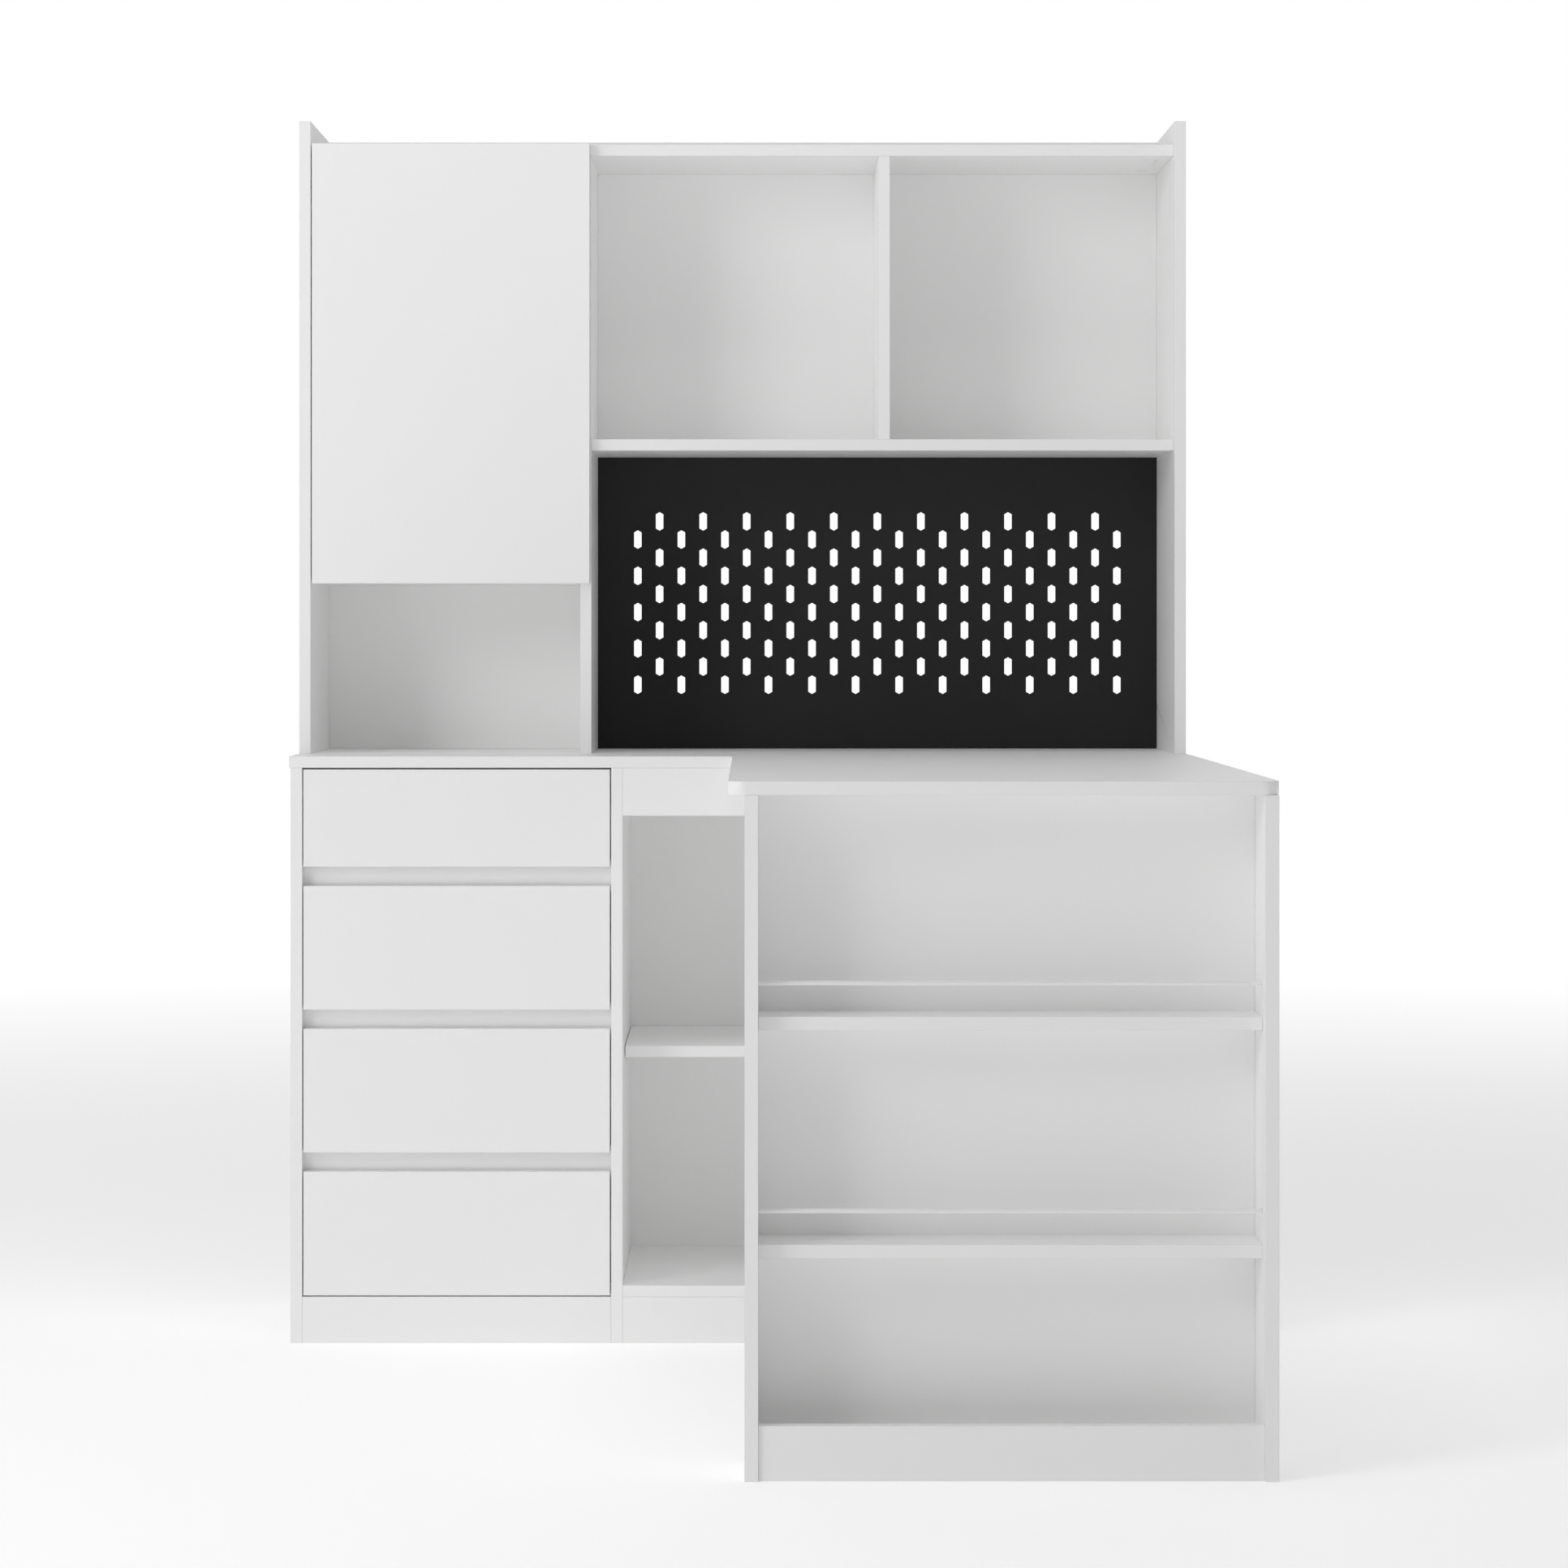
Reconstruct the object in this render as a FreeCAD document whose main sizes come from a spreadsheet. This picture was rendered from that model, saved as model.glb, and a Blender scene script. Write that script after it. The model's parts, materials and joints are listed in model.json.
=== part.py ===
import FreeCAD, Part
import math
import os
import re
import Sketcher
from FreeCAD import Placement, Rotation, Vector

# Corner desk: a shallow base cabinet with four drawers and an open cubby, a deep wing carried by an
# end rack, and a hutch with a door, two cubbies and a slotted metal pegboard.
#
# Frame: millimetres, +Z up, the front of the desk faces -Y, +X is to the right seen from the front.
# The origin lies on the floor under the middle of the worktop's bounding rectangle.

# ---------------------------------------------------------------- driving dimensions

DRIVING = {
    # whole desk
    "body_width": 1170,            # over the two outer side panels
    "total_depth": 1200,           # front edge of the wing to the rear of the cabinet
    "total_height": 1595,
    "board": 15,                   # every panel
    "desk_height": 760,            # top face of the worktop
    "worktop_lip": 2,              # worktop past each outer side panel
    "wing_width": 600,
    "wing_corner_radius": 20,
    # base cabinet
    "base_depth": 350,
    "drawer_bay": 400,             # clear width
    "plinth_height": 60,
    "apron_height": 62,
    "cubby_shelf_top": 378,
    "cubby_shelf_setback": 70,
    "shelf_slack": 1,              # loose shelf to each upright
    # drawer fronts and the rails behind the finger gaps
    "side_reveal": 1.5,            # beside a drawer front and beside the door
    "stack_reveal": 2,             # above and below the stack of fronts
    "front_height": 160,
    "finger_gap": 25,
    "rail_setback": 18,
    "rail_overlap": 8,
    # drawer boxes
    "box_length": 300,
    "box_board": 12,
    "box_bottom_board": 3,
    "box_low": 16,                 # front's lower edge to the box
    "box_high": 28,                # box to the front's upper edge
    "groove_rise": 10,
    "groove_deep": 6,
    "runner_space": 13,            # box to upright
    # runners
    "runner_gauge": 1.2,
    "runner_channel_height": 40,
    "runner_channel_deep": 9.5,
    "slider_height": 34,
    "slider_deep": 10.3,
    "runner_length": 300,
    "runner_start": 3,             # behind the drawer front
    "slider_start": 1,
    # end rack under the wing
    "rack_width": 580,
    "rack_pocket": 93,             # front edge to the back board
    "rack_upper_top": 502.5,
    "rack_lower_top": 254,
    "rack_bottom_top": 20,
    "rack_shelf_setback": 24,
    "rack_plinth_setback": 4,
    "rod_radius": 2.5,
    "rod_rise": 36.5,              # shelf top to rod axis
    "rod_setback": 27,
    "rod_bite": 7,                 # rod end in each rack side
    # hutch
    "hutch_depth": 250,
    "cupboard_bay": 355,           # clear width
    "gallery": 29,                 # sides and rail above the top board
    "front_recess": 16.5,          # boards behind the door
    "mid_shelf_top": 1176,
    "cupboard_underside": 985,
    "left_cubby": 380,             # clear width
    "partition_strip": 2,          # partition left uncovered by the door
    # pegboard
    "peg_gauge": 1.2,
    "peg_flange": 12,
    "slot_width": 10.4,
    "slot_height": 25.6,
    "slot_pitch": 60,
    "slot_row_pitch": 50,          # rows of the same stagger
    # concealed hinges
    "cup_radius": 17.5,
    "cup_depth": 12,
    "cup_wall": 1.2,
    "cup_inset": 22.5,             # door edge to cup centre
    "cup_end_margin": 100,         # door end to cup centre
    "flange_gauge": 1.2,
    "flange_long": 54,
    "flange_wide": 30,
    "arm_start": 18,               # hutch front to the arm
    "arm_length": 72,
    "arm_wide": 14,
    "arm_high": 16,
    "plate_start": 40,
    "plate_length": 32,
    "plate_gauge": 2,
    "plate_high": 48,
    # joinery
    "cam_radius": 7.5,
    "cam_depth": 12,
    "cam_inset": 24,
    "shank_radius": 3.5,
    "thread_radius": 2.5,
    "thread_length": 11,
    "dowel_radius": 4,
    "dowel_length": 30,
    "dowel_bite": 7,               # part of a level dowel in the upright
    "top_bite": 10,                # part of a standing dowel in the worktop
    "face_bite": 8,                # part of a standing dowel in another level board
    "rail_dowel_rise": 10,         # finger gap's middle to a rail dowel
    "pin_radius": 2.5,
    "pin_length": 16,
    "pin_bite": 8,
    "peg_screw_radius": 1.75,
    "peg_screw_head_radius": 3.5,
    "peg_screw_head": 2,
    "peg_screw_bite": 10,
}

PEG_ODD_SLOTS = 11                 # slots in the top row and every second one below it
PEG_EVEN_SLOTS = 12
PEG_ROW_PAIRS = 5
DRAWER_COUNT = 4

# ---------------------------------------------------------------- planes shared by many pieces

LEFT = "(-body_width / 2)"
RIGHT = "(body_width / 2)"
REAR = "(total_depth / 2)"
WING_FRONT = "(-total_depth / 2)"
LEFT_INNER = "(-body_width / 2 + board)"
RIGHT_INNER = "(body_width / 2 - board)"
BACK_FACE = "(total_depth / 2 - board)"
BASE_FRONT = "(total_depth / 2 - base_depth)"
DESK_UNDER = "(desk_height - board)"
BAY_RIGHT = "(%s + drawer_bay)" % LEFT_INNER
CUBBY_LEFT = "(%s + board)" % BAY_RIGHT
FRONT_REAR = "(%s + board)" % BASE_FRONT
SHELF_FRONT = "(%s + cubby_shelf_setback)" % BASE_FRONT
RACK_RIGHT = "(body_width / 2)"
RACK_LEFT = "(%s - rack_width)" % RACK_RIGHT
RACK_LEFT_INNER = "(%s + board)" % RACK_LEFT
RACK_BACK_FACE = "(%s + rack_pocket)" % WING_FRONT
RACK_REAR = "(%s + board)" % RACK_BACK_FACE
RACK_PLINTH_FACE = "(%s + rack_plinth_setback)" % WING_FRONT
HUTCH_FRONT = "(total_depth / 2 - hutch_depth)"
HUTCH_INNER_FRONT = "(%s + front_recess)" % HUTCH_FRONT
CUPBOARD_RIGHT = "(%s + cupboard_bay)" % LEFT_INNER
PEG_LEFT = "(%s + board)" % CUPBOARD_RIGHT
TOP_FACE = "(total_height - gallery)"
TOP_UNDER = "(%s - board)" % TOP_FACE
MID_UNDER = "(mid_shelf_top - board)"
DIVIDER_LEFT = "(%s + left_cubby)" % PEG_LEFT
DOOR_LEFT = "(%s + side_reveal)" % LEFT_INNER
DOOR_RIGHT = "(%s - partition_strip)" % PEG_LEFT

# ---------------------------------------------------------------- rows and heights of the fasteners

BAY_CAM_ROWS = ("%s + 65" % BASE_FRONT, "%s - 60" % BACK_FACE)
# the partition takes bolts from both sides, so the cubby's rows stand one hole pitch behind the bay's
HOLE_PITCH = 32
CUBBY_CAM_ROWS = tuple("%s + %d" % (row, HOLE_PITCH) for row in BAY_CAM_ROWS)
HUTCH_CAM_ROWS = ("%s + 45" % HUTCH_INNER_FRONT, "%s - 45" % BACK_FACE)
RACK_CAM_ROWS = ("(%s - (rack_pocket - rack_shelf_setback) / 2)" % RACK_BACK_FACE,)
BASE_DOWEL_ROWS = ("%s + 40" % BASE_FRONT, "%s - 60" % REAR)
HUTCH_DOWEL_ROWS = ("%s + 60" % HUTCH_FRONT, "%s - 90" % REAR)
RACK_DOWEL_ROWS = ("%s + 24" % WING_FRONT, "%s + 84" % WING_FRONT)
DIVIDER_DOWEL_ROWS = ("%s + 50" % HUTCH_INNER_FRONT, "%s - 50" % BACK_FACE)
SHELF_PIN_ROWS = ("%s + 30" % SHELF_FRONT, "%s - 40" % BACK_FACE)
PLINTH_DOWEL_HEIGHTS = ("plinth_height / 4", "plinth_height * 3 / 4")
APRON_DOWEL_HEIGHTS = ("%s - apron_height / 4" % DESK_UNDER, "%s - apron_height * 3 / 4" % DESK_UNDER)
BASE_BACK_DOWEL_HEIGHTS = (150, 400, 650)
RACK_BACK_DOWEL_HEIGHTS = (120, 370, 620)
LEFT_BACK_DOWEL_HEIGHTS = (860, 1200, 1450)
RIGHT_BACK_DOWEL_HEIGHTS = (1260, 1500)
PEG_SCREW_HEIGHTS = ("desk_height + 60", "desk_height + 200", "desk_height + 340")

# ---------------------------------------------------------------- document helpers

document = FreeCAD.newDocument("corner_desk")
ALIAS_WORD = re.compile(r"\b(%s)\b" % "|".join(DRIVING))
nodes = {}
joinery = {}


def make_sheet():
    sheet = document.addObject("Spreadsheet::Sheet", "Dims")
    for row, (alias, value) in enumerate(DRIVING.items(), start=1):
        sheet.set("A%d" % row, alias)
        sheet.set("B%d" % row, str(value))
        sheet.setAlias("B%d" % row, alias)
    document.recompute()


def bind(thing, prop, formula):
    """Drive one property by a formula written in the sheet's words."""
    thing.setExpression(prop, ALIAS_WORD.sub(r"Dims.\1", str(formula)))


def keep(label, thing):
    """Register a finished sub-part under the name of its file."""
    thing.Label = label
    nodes[label] = thing
    return thing


def block(name, x, y, z):
    """Box between (low, high) pairs of formulas along each axis."""
    box = document.addObject("Part::Box", name)
    for size, axis, (low, high) in (("Length", "x", x), ("Width", "y", y), ("Height", "z", z)):
        bind(box, size, "(%s) - (%s)" % (high, low))
        bind(box, "Placement.Base." + axis, low)
    return box


AXIS_TURN = {
    "x": Rotation(Vector(0, 1, 0), 90),
    "y": Rotation(Vector(1, 0, 0), -90),
    "z": Rotation(),
}


def bar(name, axis, start, radius, length):
    """Round bar from the start point along +axis."""
    cylinder = document.addObject("Part::Cylinder", name)
    cylinder.Placement = Placement(Vector(), AXIS_TURN[axis])
    bind(cylinder, "Radius", radius)
    bind(cylinder, "Height", length)
    for coordinate, formula in zip("xyz", start):
        bind(cylinder, "Placement.Base." + coordinate, formula)
    return cylinder


def joined(name, pieces):
    fuse = document.addObject("Part::MultiFuse", name)
    fuse.Shapes = pieces
    return fuse


def group(name, pieces):
    compound = document.addObject("Part::Compound", name)
    compound.Links = pieces
    return compound


def cut(name, base, tool):
    result = document.addObject("Part::Cut", name)
    result.Base = base
    result.Tool = tool
    return result


def fasten(fastener, *boards):
    """Note that these boards have a bore for this fastener."""
    for label in boards:
        joinery.setdefault(label, []).append(fastener)
    return fastener


def bored(label, blank):
    """The board with a bore for every fastener noted for it."""
    fasteners = joinery.get(label, [])
    return cut(label + "_bored", blank, joined(label + "_bores", fasteners)) if fasteners else blank


def panel(label, x, y, z):
    return keep(label, bored(label, block(label + "_blank", x, y, z)))


# ---------------------------------------------------------------- joinery

cams = []
cam_bolts = []
dowels = []


def cam_joint(shelf, upright, end_x, side, y, underside):
    """Cam in the shelf's underside and its bolt in the upright; side is +1 with the upright to the right."""
    number = len(cams) + 1
    centre_x = "%s - %d * cam_inset" % (end_x, side)
    cam = bar("cam_%d" % number, "z", (centre_x, y, underside), "cam_radius", "cam_depth")
    shank_length = "cam_inset - cam_radius"
    axis_z = "%s + board / 2" % underside
    shank_x = "%s - (%s)" % (end_x, shank_length) if side > 0 else end_x
    thread_x = end_x if side > 0 else "%s - thread_length" % end_x
    shank = bar("shank_%d" % number, "x", (shank_x, y, axis_z), "shank_radius", shank_length)
    thread = bar("thread_%d" % number, "x", (thread_x, y, axis_z), "thread_radius", "thread_length")
    bolt = joined("cam_bolt_%d" % number, [shank, thread])
    cams.append(fasten(cam, shelf))
    cam_bolts.append(fasten(bolt, shelf, upright))


def cam_shelf(shelf, left_upright, right_upright, left_x, right_x, places, underside):
    for y in places:
        cam_joint(shelf, left_upright, left_x, -1, y, underside)
        cam_joint(shelf, right_upright, right_x, 1, y, underside)


def level_dowel(board, upright, end_x, side, y, z):
    start = "%s - (dowel_length - dowel_bite)" % end_x if side > 0 else "%s - dowel_bite" % end_x
    dowel = bar("dowel_%d" % (len(dowels) + 1), "x", (start, y, z), "dowel_radius", "dowel_length")
    dowels.append(fasten(dowel, board, upright))


def level_dowels(board, left_upright, right_upright, left_x, right_x, y, heights):
    for z in heights:
        level_dowel(board, left_upright, left_x, -1, y, z)
        level_dowel(board, right_upright, right_x, 1, y, z)


def standing_dowel(upper, lower, x, y, low_z):
    dowel = bar("dowel_%d" % (len(dowels) + 1), "z", (x, y, low_z), "dowel_radius", "dowel_length")
    dowels.append(fasten(dowel, upper, lower))


def make_cam_joints():
    cam_shelf("drawer_bay_bottom", "base_left_side", "base_partition",
              LEFT_INNER, BAY_RIGHT, BAY_CAM_ROWS, "plinth_height")
    cam_shelf("cubby_bottom", "base_partition", "base_right_side",
              CUBBY_LEFT, RIGHT_INNER, CUBBY_CAM_ROWS, "plinth_height")
    cam_shelf("cupboard_bottom", "hutch_left_side", "hutch_partition",
              LEFT_INNER, CUPBOARD_RIGHT, HUTCH_CAM_ROWS, "cupboard_underside")
    cam_shelf("hutch_mid_shelf", "hutch_partition", "hutch_right_side",
              PEG_LEFT, RIGHT_INNER, HUTCH_CAM_ROWS, MID_UNDER)
    cam_shelf("hutch_top", "hutch_left_side", "hutch_right_side",
              LEFT_INNER, RIGHT_INNER, HUTCH_CAM_ROWS, TOP_UNDER)
    for shelf, top in (("rack_shelf_upper", "rack_upper_top"), ("rack_shelf_lower", "rack_lower_top"),
                       ("rack_bottom", "rack_bottom_top")):
        cam_shelf(shelf, "rack_left_panel", "rack_right_panel",
                  RACK_LEFT_INNER, RIGHT_INNER, RACK_CAM_ROWS, "(%s - board)" % top)


def make_worktop_dowels():
    """Standing dowels: base uprights and rack sides up into the worktop, hutch uprights down into it."""
    below = "(%s + top_bite - dowel_length)" % DESK_UNDER
    above = "(desk_height - top_bite)"
    standing = (
        ("base_left_side", LEFT, BASE_DOWEL_ROWS, below),
        ("base_partition", BAY_RIGHT, BASE_DOWEL_ROWS, below),
        ("base_right_side", RIGHT_INNER, BASE_DOWEL_ROWS, below),
        ("rack_left_panel", RACK_LEFT, RACK_DOWEL_ROWS, below),
        ("rack_right_panel", RIGHT_INNER, RACK_DOWEL_ROWS, below),
        ("hutch_left_side", LEFT, HUTCH_DOWEL_ROWS, above),
        ("hutch_partition", CUPBOARD_RIGHT, HUTCH_DOWEL_ROWS, above),
        ("hutch_right_side", RIGHT_INNER, HUTCH_DOWEL_ROWS, above),
    )
    for upright, left_face, rows, low_z in standing:
        for y in rows:
            standing_dowel(upright, "worktop", "%s + board / 2" % left_face, y, low_z)


def make_hutch_dowels():
    """Standing dowels between the hutch's horizontal boards and the uprights that end on them."""
    into_top = "(%s + face_bite - dowel_length)" % TOP_UNDER
    divider_x = "%s + board / 2" % DIVIDER_LEFT
    for y in DIVIDER_DOWEL_ROWS:
        standing_dowel("hutch_divider", "hutch_mid_shelf", divider_x, y, "mid_shelf_top - face_bite")
        standing_dowel("hutch_top", "hutch_divider", divider_x, y, into_top)
        standing_dowel("hutch_top", "hutch_partition", "%s + board / 2" % CUPBOARD_RIGHT, y, into_top)


def make_level_dowels():
    face_board_middle = "%s + board / 2" % BASE_FRONT
    rear_board_middle = "%s - board / 2" % REAR
    rail_middle = "%s + rail_setback + board / 2" % BASE_FRONT
    level_dowels("drawer_bay_plinth", "base_left_side", "base_partition",
                 LEFT_INNER, BAY_RIGHT, face_board_middle, PLINTH_DOWEL_HEIGHTS)
    level_dowels("cubby_plinth", "base_partition", "base_right_side",
                 CUBBY_LEFT, RIGHT_INNER, face_board_middle, PLINTH_DOWEL_HEIGHTS)
    level_dowels("cubby_apron", "base_partition", "base_right_side",
                 CUBBY_LEFT, RIGHT_INNER, face_board_middle, APRON_DOWEL_HEIGHTS)
    level_dowels("base_back", "base_left_side", "base_right_side",
                 LEFT_INNER, RIGHT_INNER, rear_board_middle, BASE_BACK_DOWEL_HEIGHTS)
    level_dowels("hutch_back_left", "hutch_left_side", "hutch_partition",
                 LEFT_INNER, CUPBOARD_RIGHT, rear_board_middle, LEFT_BACK_DOWEL_HEIGHTS)
    level_dowels("hutch_back_right", "hutch_partition", "hutch_right_side",
                 PEG_LEFT, RIGHT_INNER, rear_board_middle, RIGHT_BACK_DOWEL_HEIGHTS)
    level_dowels("gallery_rail", "hutch_left_side", "hutch_right_side",
                 LEFT_INNER, RIGHT_INNER, rear_board_middle, ["total_height - gallery / 2"])
    level_dowels("rack_back", "rack_left_panel", "rack_right_panel",
                 RACK_LEFT_INNER, RIGHT_INNER, "%s + board / 2" % RACK_BACK_FACE, RACK_BACK_DOWEL_HEIGHTS)
    level_dowels("rack_plinth", "rack_left_panel", "rack_right_panel",
                 RACK_LEFT_INNER, RIGHT_INNER, "%s + board / 2" % RACK_PLINTH_FACE, PLINTH_DOWEL_HEIGHTS)
    for number in range(1, DRAWER_COUNT):
        middle = "%s - finger_gap / 2" % front_bottom(number)
        level_dowels("finger_rails", "base_left_side", "base_partition", LEFT_INNER, BAY_RIGHT,
                     rail_middle, ["%s - rail_dowel_rise" % middle, "%s + rail_dowel_rise" % middle])


def make_shelf_pins():
    """Four pins in the cubby's uprights, the loose shelf lying on them."""
    pins = []
    axis_z = "cubby_shelf_top - board - pin_radius"
    for y in SHELF_PIN_ROWS:
        left = bar("shelf_pin_%d" % (len(pins) + 1), "x", ("%s - pin_bite" % CUBBY_LEFT, y, axis_z),
                   "pin_radius", "pin_length")
        right_start = "%s + pin_bite - pin_length" % RIGHT_INNER
        right = bar("shelf_pin_%d" % (len(pins) + 2), "x", (right_start, y, axis_z),
                    "pin_radius", "pin_length")
        pins.append(fasten(left, "base_partition"))
        pins.append(fasten(right, "base_right_side"))
    keep("shelf_pins", group("shelf_pins", pins))


def make_guard_rods():
    """Thin steel rods across the mouth of the rack, one above each shelf."""
    rods = []
    for name, top in (("guard_rod_upper", "rack_upper_top"), ("guard_rod_lower", "rack_lower_top")):
        start = ("%s - rod_bite" % RACK_LEFT_INNER, "%s + rod_setback" % WING_FRONT, "%s + rod_rise" % top)
        rod = bar(name, "x", start, "rod_radius", "%s - %s + 2 * rod_bite" % (RIGHT_INNER, RACK_LEFT_INNER))
        rods.append(fasten(rod, "rack_left_panel", "rack_right_panel"))
    keep("guard_rods", group("guard_rods", rods))


def make_pegboard_screws():
    """Three screws on each side, through the folded flange into the upright."""
    screws = []
    axis_y = "%s + peg_flange / 2" % BACK_FACE
    bite = "(peg_screw_bite + peg_gauge)"
    flanges = (("hutch_partition", PEG_LEFT, 1), ("hutch_right_side", RIGHT_INNER, -1))
    for z in PEG_SCREW_HEIGHTS:
        for upright, flange_x, side in flanges:
            name = "peg_screw_%d" % (len(screws) + 1)
            inner_x = "%s + %d * peg_gauge" % (flange_x, side)
            shank_x = "%s - %s" % (inner_x, bite) if side > 0 else inner_x
            head_x = inner_x if side > 0 else "%s - peg_screw_head" % inner_x
            shank = bar(name + "_shank", "x", (shank_x, axis_y, z), "peg_screw_radius", bite)
            head = bar(name + "_head", "x", (head_x, axis_y, z), "peg_screw_head_radius", "peg_screw_head")
            screws.append(fasten(joined(name, [shank, head]), upright, "pegboard"))
    keep("pegboard_screws", group("pegboard_screws", screws))


def keep_fasteners():
    keep("cam_locks", group("cam_locks", cams))
    keep("cam_bolts", group("cam_bolts", cam_bolts))
    keep("dowels", group("dowels", dowels))


# ---------------------------------------------------------------- sketched pieces


def origin_plane(body, role):
    return next(item for item in body.Origin.OriginFeatures if item.Role == role)


def outline(body, name, plane_role, corners, set_back=None):
    """Closed sketch on an origin plane; each corner is a pair of formulas held by two dimensions."""
    sketch = body.newObject("Sketcher::SketchObject", name)
    sketch.AttachmentSupport = [(origin_plane(body, plane_role), "")]
    sketch.MapMode = "FlatFace"
    if set_back:
        bind(sketch, "AttachmentOffset.Base.z", set_back)
    count = len(corners)
    # rough ring of points in the right order; the dimensions below move them into place
    ring = [Vector(math.cos(2 * math.pi * i / count), math.sin(2 * math.pi * i / count), 0) * 10
            for i in range(count)]
    for index in range(count):
        sketch.addGeometry(Part.LineSegment(ring[index], ring[(index + 1) % count]), False)
    for index in range(count):
        following = (index + 1) % count
        sketch.addConstraint(Sketcher.Constraint("Coincident", index, 2, following, 1))
    for index, (across, up) in enumerate(corners):
        for kind, formula in (("DistanceX", across), ("DistanceY", up)):
            number = sketch.addConstraint(Sketcher.Constraint(kind, -1, 1, index, 1, 1.0))
            bind(sketch, "Constraints[%d]" % number, formula)
    return sketch


def make_worktop():
    """One L-shaped board; the two front corners of the wing are rounded."""
    body = document.addObject("PartDesign::Body", "worktop_board")
    left = "(%s - worktop_lip)" % LEFT
    right = "(%s + worktop_lip)" % RIGHT
    wing_left = "(%s - wing_width)" % right
    corners = [(left, BASE_FRONT), (wing_left, BASE_FRONT), (wing_left, WING_FRONT),
               (right, WING_FRONT), (right, REAR), (left, REAR)]
    sketch = outline(body, "worktop_outline", "XY_Plane", corners)
    pad = body.newObject("PartDesign::Pad", "worktop_pad")
    pad.Profile = sketch
    bind(pad, "Length", "board")
    document.recompute()
    fillet = body.newObject("PartDesign::Fillet", "wing_corners")
    front_y = min(vertex.Y for vertex in pad.Shape.Vertexes)
    fillet.Base = (pad, ["Edge%d" % number for number, edge in enumerate(pad.Shape.Edges, start=1)
                         if is_upright(edge) and abs(edge.CenterOfMass.y - front_y) < 0.01])
    bind(fillet, "Radius", "wing_corner_radius")
    body.Tip = fillet
    bind(body, "Placement.Base.z", DESK_UNDER)
    keep("worktop", bored("worktop", body))


def is_upright(edge):
    first, last = edge.Vertexes[0], edge.Vertexes[-1]
    return abs(first.X - last.X) < 0.01 and abs(first.Y - last.Y) < 0.01


def rectangle(half_wide, low, high):
    return [("-(%s)" % half_wide, low), (half_wide, low), (half_wide, high), ("-(%s)" % half_wide, high)]


def slot_corners(centre_x, centre_z):
    """Upright slot with a 120 degree point at each end."""
    half = "slot_width / 2"
    shoulder = "(slot_height / 2 - slot_width / 2 * tan(30))"
    tip = "slot_height / 2"
    return [
        ("%s - %s" % (centre_x, half), "%s - %s" % (centre_z, shoulder)),
        (centre_x, "%s - %s" % (centre_z, tip)),
        ("%s + %s" % (centre_x, half), "%s - %s" % (centre_z, shoulder)),
        ("%s + %s" % (centre_x, half), "%s + %s" % (centre_z, shoulder)),
        (centre_x, "%s + %s" % (centre_z, tip)),
        ("%s - %s" % (centre_x, half), "%s + %s" % (centre_z, shoulder)),
    ]


def slot_rows(body, name, across_count, first_z):
    """Slots of one stagger: across_count side by side, PEG_ROW_PAIRS rows high."""
    first_x = "(-slot_pitch * %d / 2)" % (across_count - 1)
    sketch = outline(body, name + "_outline", "XZ_Plane", slot_corners(first_x, first_z))
    pocket = body.newObject("PartDesign::Pocket", name + "_pocket")
    pocket.Profile = sketch
    bind(pocket, "Length", "peg_gauge")
    document.recompute()
    rows = body.newObject("PartDesign::LinearPattern", name + "_pattern")
    rows.Originals = [pocket]
    rows.Direction = (sketch, ["H_Axis"])
    rows.Occurrences = across_count
    bind(rows, "Length", "slot_pitch * %d" % (across_count - 1))
    rows.Direction2 = (sketch, ["V_Axis"])
    rows.Occurrences2 = PEG_ROW_PAIRS
    bind(rows, "Length2", "slot_row_pitch * %d" % (PEG_ROW_PAIRS - 1))
    body.Tip = rows
    document.recompute()


def make_pegboard():
    """Sheet-metal tray, its flanges folded to the rear, with two staggered sets of slots."""
    body = document.addObject("PartDesign::Body", "pegboard_tray")
    half_wide = "((%s - %s) / 2)" % (RIGHT_INNER, PEG_LEFT)
    high = "(%s - desk_height)" % MID_UNDER
    face = outline(body, "pegboard_face", "XZ_Plane", rectangle(half_wide, "0 * board", high))
    tray = body.newObject("PartDesign::Pad", "pegboard_block")
    tray.Profile = face
    tray.Reversed = True
    bind(tray, "Length", "peg_flange")
    document.recompute()
    hollow_outline = outline(body, "pegboard_hollow_outline", "XZ_Plane",
                             rectangle("(%s - peg_gauge)" % half_wide, "peg_gauge", "%s - peg_gauge" % high),
                             set_back="-peg_gauge")
    hollow = body.newObject("PartDesign::Pocket", "pegboard_hollow")
    hollow.Profile = hollow_outline
    bind(hollow, "Length", "peg_flange")
    document.recompute()
    # rows run from the lowest up; the lowest belongs to the wider stagger
    lowest = "(%s / 2 - slot_row_pitch * %s / 2)" % (high, PEG_ROW_PAIRS - 0.5)
    slot_rows(body, "even_slots", PEG_EVEN_SLOTS, lowest)
    slot_rows(body, "odd_slots", PEG_ODD_SLOTS, "(%s + slot_row_pitch / 2)" % lowest)
    bind(body, "Placement.Base.x", "(%s + %s) / 2" % (PEG_LEFT, RIGHT_INNER))
    bind(body, "Placement.Base.y", BACK_FACE)
    bind(body, "Placement.Base.z", "desk_height")
    keep("pegboard", bored("pegboard", body))


# ---------------------------------------------------------------- fixed boards


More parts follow.
